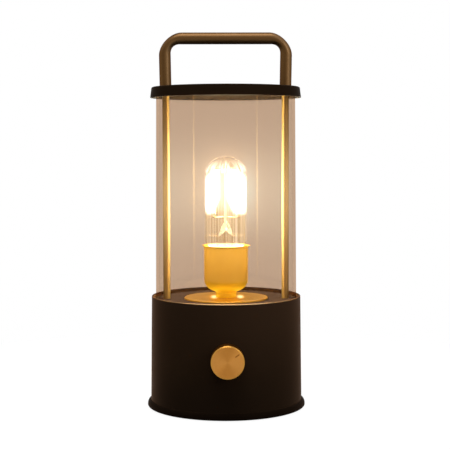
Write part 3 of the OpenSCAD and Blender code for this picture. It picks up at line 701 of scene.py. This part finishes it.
def bronze_glass():
    """Thin bronze-tinted glass. Its far wall mirrors the rods and carries the bulb's glow."""
    tint = (0.850, 0.774, 0.704)
    mirror = 0.07
    haze = 0.008
    soft = 0.2
    look = Look("bronze_glass")
    look.set(Metallic=1.0, Roughness=0.4, Base_Color=(1, 1, 1))
    at = look.position()
    lean = look.ramp(at.z, GLASS_Z, (0, GLASS_DRAFT), smooth=False)
    mid_wall = GLASS_R - GLASS_WALL / 2
    outer = look.ramp(look.plus(look.radius(at.x, at.y), lean), (mid_wall - soft, mid_wall + soft))
    facing = look.add("ShaderNodeLayerWeight").outputs["Facing"]
    clear = look.add("ShaderNodeBsdfTransparent")
    look.feed(clear.inputs["Color"], look.mix(outer, tint, glass_tint(look, facing, tint)))
    light_far_wall(look, at, facing, haze)
    gloss = look.add("ShaderNodeBsdfGlossy")
    look.feed(gloss.inputs["Roughness"], 0.015)
    backfacing = look.add("ShaderNodeNewGeometry").outputs["Backfacing"]
    bore = look.minus(1, look.larger(outer, backfacing))
    hazy = look.mix_shaders(look.times(bore, haze), clear.outputs[0], look.shader.outputs[0])
    look.feed(look.surface, look.mix_shaders(look.times(bore, mirror), hazy, gloss.outputs[0]))
    return look


def strip_light(look, at, lines):
    """The strips' light on the bulb's glass: two blocks with a dim gap that widens towards the foot."""
    low, high = STRIP_Z
    level = 2.6
    gap_middle = -2.5
    gap_x = (1, 9)
    gap_levels = (0.030, 0.045)
    edge_x = (15, 19.2)
    edge_levels = (1, 0.15)
    corner_x = (8, 19)
    corner_drop = (0, 6)
    widening = (0, 5)
    foot_z = (low - 4, low + 4)
    head_z = (high + 7, high - 3)
    gap_z = (low - 2, low + 10)
    widening_z = (low + 14, low - 1)
    streak_base = 0.3
    streak_share = 1.6
    aside = look.absolute(at.x)
    foot = look.ramp(at.z, foot_z)
    head = look.ramp(look.plus(at.z, look.ramp(aside, corner_x, corner_drop)), head_z)
    streaks = look.plus(look.times(lines, streak_share), streak_base)
    gap = look.times(look.ramp(at.z, gap_z, gap_levels), streaks)
    from_gap = look.absolute(look.minus(at.x, gap_middle))
    from_gap = look.minus(from_gap, look.ramp(at.z, widening_z, widening))
    inner = look.larger(look.ramp(from_gap, gap_x), gap)
    outer = look.ramp(aside, edge_x, edge_levels)
    return look.times(foot, head, inner, outer, level)


def dome_rays(look, at):
    """Rays of light in the bulb's dome, above the strips."""
    high = STRIP_Z[1]
    rays_per_radian = 6
    waves_per_mm = 0.06
    ray_span = (0.47, 0.58)
    rise_z = (high, high + 4)
    fall_z = (high + 15, high + 4)
    level = 0.75
    turn = look.times(look.math("ARCTAN2", at.y, at.x), rays_per_radian)
    fan = look.combine(turn, look.times(at.z, waves_per_mm))
    rays = look.ramp(look.noise(scale=1, detail=2, rough=0.5, vector=fan), ray_span)
    band = look.times(look.ramp(at.z, rise_z), look.ramp(at.z, fall_z))
    return look.times(rays, band, level)


def bulb_glass():
    """Clear glass that glows where the strips light it up, with streaks below them and in the dome."""
    low = STRIP_Z[0]
    warm_light = (1.0, 0.96, 0.82)
    white_light = (1.0, 0.98, 0.97)
    amber = (0.93, 0.87, 0.72)
    lines_per_mm = (0.9, 0.26, 0.003)
    line_span = (0.42, 0.60)
    white_z = (low - 4, low + 4)
    below_z = (low + 6, low)
    tail_x = (-10, 10)
    tail_levels = (0.052, 0.115)
    veil_z = (CUP_TOP_Z - 2, CUP_TOP_Z + 2)
    veil_levels = (0, 0.020)
    mouth_z = (CUP_TOP_Z + 1.2, CUP_TOP_Z - 0.5)
    mouth_levels = (0, 1.5)
    look = Look("bulb_glass")
    look.set(Metallic=0.0, IOR=1.03, Roughness=0.0, Transmission_Weight=1.0)
    at = look.position()
    drawn = look.combine(at.x, look.absolute(at.y), at.z)
    lines = look.noise(scale=1, detail=2, rough=0.5, stretch=lines_per_mm, vector=drawn)
    lines = look.ramp(lines, line_span)
    below = look.ramp(at.z, below_z)
    tails = look.times(lines, below, look.ramp(at.x, tail_x, tail_levels))
    veil = look.ramp(at.z, veil_z, veil_levels)
    mouth = look.ramp(at.z, mouth_z, mouth_levels)
    light = look.plus(strip_light(look, at, lines), tails, dome_rays(look, at), veil, mouth)
    tint = look.mix(look.ramp(at.z, white_z), warm_light, white_light)
    look.set(Emission_Strength=light, Emission_Color=tint)
    look.mottle(look.noise(scale=40, detail=2), dark=(0.95, 0.93, 0.88), light=(0.99, 0.97, 0.93))
    look.retouch(look.times(look.minus(1, lines), below), amber)
    look.let_lamps_through((0.97, 0.95, 0.92))
    return look


def stem_glass():
    """Clear stem that picks up light along its post and over the shoulder of its bell."""
    lamplight = (1.0, 0.88, 0.62)
    shoulder_slope = 0.8
    shoulder_h = (-9, -6.5)
    bell_top = (0, 2)
    sparkle_span = (0.40, 0.60)
    sparkle_levels = (0.15, 1)
    post_x = (-1.0, 0.2)
    post_levels = (1, 0.15)
    look = Look("stem_glass")
    look.set(Metallic=0.0, IOR=1.01, Roughness=0.0, Transmission_Weight=1.0)
    at = look.position()
    height = look.minus(at.z, STEM_BELL_Z)
    on_post = look.ramp(height, bell_top)
    shoulder = look.plus(height, look.times(look.absolute(at.x), shoulder_slope))
    arch = look.times(look.ramp(shoulder, shoulder_h), look.minus(1, on_post))
    sparkle = look.ramp(look.noise(scale=420, detail=2), sparkle_span, sparkle_levels)
    post = look.times(on_post, look.ramp(at.x, post_x, post_levels))
    look.set(Emission_Strength=look.plus(look.times(arch, sparkle), post), Emission_Color=lamplight)
    look.mottle(look.noise(scale=60, detail=2), dark=(0.95, 0.92, 0.85), light=(0.98, 0.96, 0.92))
    look.let_lamps_through((0.96, 0.94, 0.90))
    return look


def lit_phosphor():
    """The yellow coat of the LED strips, alight."""
    lamplight = (1.0, 0.80, 0.48)
    levels = (18, 24)
    look = Look("lit_phosphor")
    grain = look.noise(scale=700, detail=2)
    look.mottle(grain, dark=(0.95, 0.70, 0.30), light=(1.0, 0.80, 0.42))
    look.set(Roughness=0.4)
    look.set(Emission_Strength=look.ramp(grain, NOISE, levels), Emission_Color=lamplight)
    return look


# Rebuilt pieces

def bulb_outline(inset):
    """Outline of the bulb's glass from neck to crown, drawn in by the inset."""
    shoulder_steps = 20
    dome_steps = 28
    r = BULB_R - inset
    neck = BULB_NECK_R - inset
    low, high = BULB_SHOULDER_Z
    points = [(neck, BULB_NECK_Z)]
    for i in range(shoulder_steps + 1):
        t = i / shoulder_steps
        points.append((neck + (r - neck) * (1 - math.cos(math.pi * t)) / 2, low + (high - low) * t))
    dome = (0, BULB_TOP_Z - BULB_DOME_H)
    points += arc(dome, r, BULB_DOME_H - inset, start=0, end=90, steps=dome_steps)[:-1]
    points.append((0, BULB_TOP_Z - inset))
    return points


def build_bulb_envelope():
    """The bulb's glass as a thin shell."""
    return lathe("bulb_glass_envelope", bulb_outline(0) + bulb_outline(BULB_WALL)[::-1], segments=96)


def build_cup():
    """The spun cup: a straight neck, a round bowl, a straight side and a flared rim."""
    rim_z = CUP_TOP_Z - CUP_FLARE_H
    neck_z = CUP_FOOT_Z + CUP_NECK_H
    floor_z = CUP_FOOT_Z + CUP_FLOOR_H
    bowl_z = CUP_FOOT_Z + CUP_BOWL_H
    bowl = (CUP_R - CUP_BOWL_R, bowl_z)
    flare = (CUP_RIM_R, rim_z)
    foot_break = 0.15
    foot_h = 0.2
    rim_break = 0.2
    rim_h = 0.12
    rim_inset = 0.02
    rim_points = [(CUP_RIM_R - rim_inset, CUP_TOP_Z - rim_h), (CUP_RIM_R - rim_break, CUP_TOP_Z)]
    outside = [(CUP_BORE_R, CUP_FOOT_Z), (CUP_NECK_R - foot_break, CUP_FOOT_Z)]
    outside += [(CUP_NECK_R, CUP_FOOT_Z + foot_h), (CUP_NECK_R, neck_z)]
    fillet = (CUP_NECK_R + CUP_FILLET, neck_z)
    outside += arc(fillet, CUP_FILLET, CUP_FILLET, start=180, end=100, steps=5)
    outside += arc(bowl, CUP_BOWL_R, CUP_BOWL_DROP, start=-66, end=0, steps=18)
    outside += arc(flare, CUP_FLARE, CUP_FLARE_H, start=180, end=100, steps=8)
    inside = arc(flare, CUP_FLARE + CUP_WALL, CUP_FLARE_H, start=112, end=180, steps=8)
    inside += arc(bowl, CUP_BOWL_R - CUP_WALL, bowl_z - floor_z, start=0, end=-90, steps=14)
    inside += [(CUP_BORE_R, floor_z)]
    cup = lathe("brass_cup", outside + rim_points + inside, segments=128)
    sharpen(cup, 40)
    return cup


def handle_path():
    """Centre line of the handle as (x, z, bend share): legs that lean out a hair, bends and the bar."""
    foot_shift = 0.2
    lean = 0.5
    squeeze_power = 1.5
    leg_steps = 8
    bend_steps = 24
    foot_x = HANDLE_X + foot_shift
    straight = HANDLE_BAR_Z - HANDLE_BEND
    half = []
    for i in range(leg_steps + 1):
        t = i / leg_steps
        half.append((foot_x + lean * t, HANDLE_FOOT_Z + (straight - HANDLE_FOOT_Z) * t, 0.0))
    centre_x = foot_x + lean - HANDLE_BEND
    for i in range(1, bend_steps + 1):
        a = math.radians(90 * i / bend_steps)
        x = centre_x + HANDLE_BEND * math.cos(a)
        z = straight + HANDLE_BEND * math.sin(a)
        half.append((x, z, math.sin(2 * a) ** squeeze_power))
    return half + [(-x, z, squeeze) for x, z, squeeze in reversed(half)]


def build_handle():
    """A bent tube, drawn in a little flatter through its two bends."""
    flatten = 0.17
    sides = 40
    path = handle_path()
    bm = bmesh.new()
    rings = []
    for i, (x, z, squeeze) in enumerate(path):
        before = path[max(i - 1, 0)]
        after = path[min(i + 1, len(path) - 1)]
        along = Vector((after[0] - before[0], 0, after[1] - before[1])).normalized()
        out = Vector((along.z, 0, -along.x))
        ring = []
        for k in range(sides):
            t = 2 * math.pi * k / sides
            across = out * (HANDLE_R * (1 - flatten * squeeze) * math.cos(t))
            point = Vector((x, HANDLE_R * math.sin(t), z)) + across
            ring.append(bm.verts.new(point * MM))
        rings.append(ring)
    for low, high in zip(rings, rings[1:]):
        for k in range(sides):
            n = (k + 1) % sides
            bm.faces.new((low[k], low[n], high[n], high[k]))
    bm.faces.new(rings[0])
    bm.faces.new(rings[-1][::-1])
    handle = add_object("handle_tube", bm)
    sharpen(handle, 50)
    return handle


# Look of each node

foot_paint = satin_paint("foot_moulding", dark=(0.0056, 0.0032, 0.0018), light=(0.0071, 0.0041, 0.0023),
                         rough=0.46, sheen=0.07, gloss=0.002)
deck_paint = satin_paint("deck_moulding", dark=(0.020, 0.0215, 0.0275), light=(0.0275, 0.030, 0.040),
                         rough=0.45, sheen=0.12, gloss=0.008)
turned_brass = plain("turned_brass", (0.62, 0.44, 0.17), rough=0.32, metallic=1.0, grain=500)
steel = plain("plated_steel", (0.52, 0.51, 0.49), rough=0.32, metallic=1.0, grain=500)
nickel = plain("nickel", (0.62, 0.60, 0.56), rough=0.25, metallic=1.0, grain=500)
wire = plain("support_wire", (0.055, 0.052, 0.046), rough=0.4, metallic=1.0, grain=500)
rubber = plain("seal_rubber", (0.030, 0.027, 0.025), rough=0.75)
ceramic = plain("ceramic", (0.78, 0.74, 0.66), rough=0.28, grain=80)
black_gloss = plain("black_insulator", (0.02, 0.02, 0.02), rough=0.2)
black_plastic = plain("black_plastic", (0.022, 0.021, 0.021), rough=0.5)
board_mask = plain("board_mask", (0.015, 0.10, 0.04), rough=0.35, grain=900)
cell_wrap = plain("cell_wrap", (0.03, 0.11, 0.24), rough=0.3)
red_lead = plain("red_lead", (0.33, 0.03, 0.02), rough=0.5)
yellow_lead = plain("yellow_lead", (0.52, 0.33, 0.03), rough=0.5)
black_lead = plain("black_lead", (0.02, 0.02, 0.02), rough=0.5)

dress(base_paint(), "base_housing")
dress(cap_paint(), "top_cap")
dress(foot_paint, "foot_ring")
dress(deck_paint, "deck_plate")
dress(bronze_glass(), "glass_chimney")
dress(rod_brass(), "tie_rod_left", "tie_rod_right")
dress(turned_brass, "lampholder_nipple", "lampholder_shell", "lampholder_contact", "board_standoffs",
      "handle_bush_left", "handle_bush_right")
dress(disc_brass(), "brass_disc")
dress(knob_brass(), "dimmer_knob")
dress(stem_glass(), "bulb_stem")
dress(lit_phosphor(), "led_filaments")
dress(rubber, "anti_slip_pad", "lower_gasket", "upper_gasket")
dress(steel, "cover_screws", "deck_screws", "rod_washers", "rod_nuts", "nipple_nut", "dimmer_shaft",
      "knob_set_screw", "dimmer_washer", "dimmer_nut", "board_screws", "usb_socket")
dress(nickel, "bulb_screw_cap", "bulb_contact_tip", "filament_ferrules", "battery_tabs")
dress(wire, "filament_wires")
dress(ceramic, "lampholder_body", "bulb_driver")
dress(black_gloss, "bulb_insulator")
dress(black_plastic, "bottom_cover", "dimmer_body", "battery_cradle", "port_bezel")
dress(board_mask, "driver_board")
dress(cell_wrap, "battery_cells")
dress(red_lead, "lamp_leads")
dress(yellow_lead, "dimmer_leads")
dress(black_lead, "battery_leads")

finish_piece(build_bulb_envelope(), bulb_glass(), "bulb", "bulb_glass", "bulb_envelope")
finish_piece(build_cup(), cup_brass(), "lantern", "brass", "lampholder_cup")
finish_piece(build_handle(), antique_brass(), "lantern", "handle_brass", "handle")


# Studio

def floor_white():
    """Grey near the lantern, to take its shadow, and white to the camera, in metal and through glass."""
    grey = (0.14, 0.14, 0.14)
    black = (0, 0, 0)
    fade_r = (120, 450)
    glow_levels = (0.92, 1)
    look = Look("floor_white")
    look.tree.nodes.remove(look.shader)
    at = look.position()
    away = look.ramp(look.radius(at.x, at.y), fade_r)
    diffuse = look.add("ShaderNodeBsdfDiffuse")
    look.feed(diffuse.inputs["Color"], look.mix(away, grey, black))
    path = look.add("ShaderNodeLightPath").outputs
    seen = look.larger(path["Is Camera Ray"], path["Is Glossy Ray"])
    seen = look.larger(seen, path["Is Transmission Ray"])
    level = look.ramp(away, (0, 1), glow_levels, smooth=False)
    glow = look.add("ShaderNodeEmission")
    look.feed(glow.inputs["Strength"], look.times(seen, level))
    both = look.add("ShaderNodeAddShader")
    for socket, shader in zip(both.inputs, (diffuse, glow)):
        look.feed(socket, shader.outputs[0])
    look.feed(look.surface, both.outputs[0])
    return look


def build_floor():
    """A wide square floor at the lantern's foot."""
    half = 6000 * MM
    corners = [(-half, -half, 0), (half, -half, 0), (half, half, 0), (-half, half, 0)]
    mesh = bpy.data.meshes.new("floor")
    mesh.from_pydata(corners, [], [(0, 1, 2, 3)])
    mesh.materials.append(floor_white().material)
    floor = bpy.data.objects.new("floor", mesh)
    bpy.context.collection.objects.link(floor)


def build_world():
    """A white surround that lights the lantern at less than the level at which it is seen."""
    lit_level = 0.6
    seen_level = 1.0
    world = bpy.data.worlds.new("studio")
    bpy.context.scene.world = world
    world.use_nodes = True
    tree = world.node_tree
    background = tree.nodes["Background"]
    background.inputs["Color"].default_value = (1, 1, 1, 1)
    path = tree.nodes.new("ShaderNodeLightPath")
    seen = path.outputs["Is Camera Ray"]
    for other in ("Is Glossy Ray", "Is Transmission Ray"):
        node = tree.nodes.new("ShaderNodeMath")
        node.operation = "MAXIMUM"
        tree.links.new(seen, node.inputs[0])
        tree.links.new(path.outputs[other], node.inputs[1])
        seen = node.outputs[0]
    level = tree.nodes.new("ShaderNodeMapRange")
    level.inputs["To Min"].default_value = lit_level
    level.inputs["To Max"].default_value = seen_level
    tree.links.new(seen, level.inputs["Value"])
    tree.links.new(level.outputs[0], background.inputs["Strength"])


def turn_towards(obj, place, aim):
    """Sets an object down at its place, in millimetres, looking at the aim."""
    obj.location = Vector(place) * MM
    obj.rotation_mode = "QUATERNION"
    obj.rotation_quaternion = (Vector(aim) - Vector(place)).to_track_quat("-Z", "Y")
    bpy.context.collection.objects.link(obj)


def add_area(name, place, size, energy):
    """A round white lamp aimed at the middle of the lantern."""
    middle = (0, 0, 150)
    data = bpy.data.lights.new(name, "AREA")
    data.shape = "DISK"
    data.size = size * MM
    data.energy = energy
    turn_towards(bpy.data.objects.new(name, data), place, middle)


def add_glow(name, place, energy, softness, mirrored=False):
    """A warm lamp for light that starts at the LED strips, itself unseen."""
    data = bpy.data.lights.new(name, "POINT")
    data.energy = energy
    data.color = (1.0, 0.74, 0.42)
    data.shadow_soft_size = softness * MM
    light = bpy.data.objects.new(name, data)
    light.location = Vector(place) * MM
    light.visible_camera = False
    light.visible_glossy = mirrored
    light.visible_transmission = False
    bpy.context.collection.objects.link(light)


def add_glow_ring(name, r, z, energy, softness):
    """A ring of unseen warm lamps round the bulb."""
    count = 6
    for i in range(count):
        a = 2 * math.pi * (i + 0.5) / count
        add_glow(f"{name}_{i}", (r * math.cos(a), r * math.sin(a), z), energy, softness)


def add_bulb_light():
    """The strips' own light, and the part that the chimney throws back onto the cup and the disc."""
    for i, z in enumerate((STRIP_Z[0], STRIP_MID_Z, STRIP_Z[1])):
        add_glow(f"strip_light_{i}", (0, 0, z), energy=1.07, softness=11, mirrored=True)
    add_glow_ring("chimney_return", r=46, z=CUP_TOP_Z + 12, energy=0.045, softness=10)
    add_glow_ring("deck_return", r=50, z=CUP_FOOT_Z + 22, energy=0.020, softness=8)


def add_camera():
    """Camera fitted to the photograph's rings, a hair left of the knob and leaning a little."""
    place = (-17.0, -1106.0, 238.5)
    aim = (-0.83, 0.0, 166.2)
    lean = math.radians(-0.15)
    data = bpy.data.cameras.new("camera")
    data.sensor_width = 36.0
    data.lens = 97.0
    camera = bpy.data.objects.new("camera", data)
    turn_towards(camera, place, aim)
    camera.rotation_quaternion = camera.rotation_quaternion @ Quaternion((0, 0, 1), lean)
    bpy.context.scene.camera = camera


build_floor()
build_world()
add_area("overhead", (-100, -350, 1350), size=900, energy=9.0)
add_area("side_fill", (1000, -900, 750), size=700, energy=4.0)
add_bulb_light()
add_camera()

bpy.context.scene.view_settings.view_transform = "Standard"
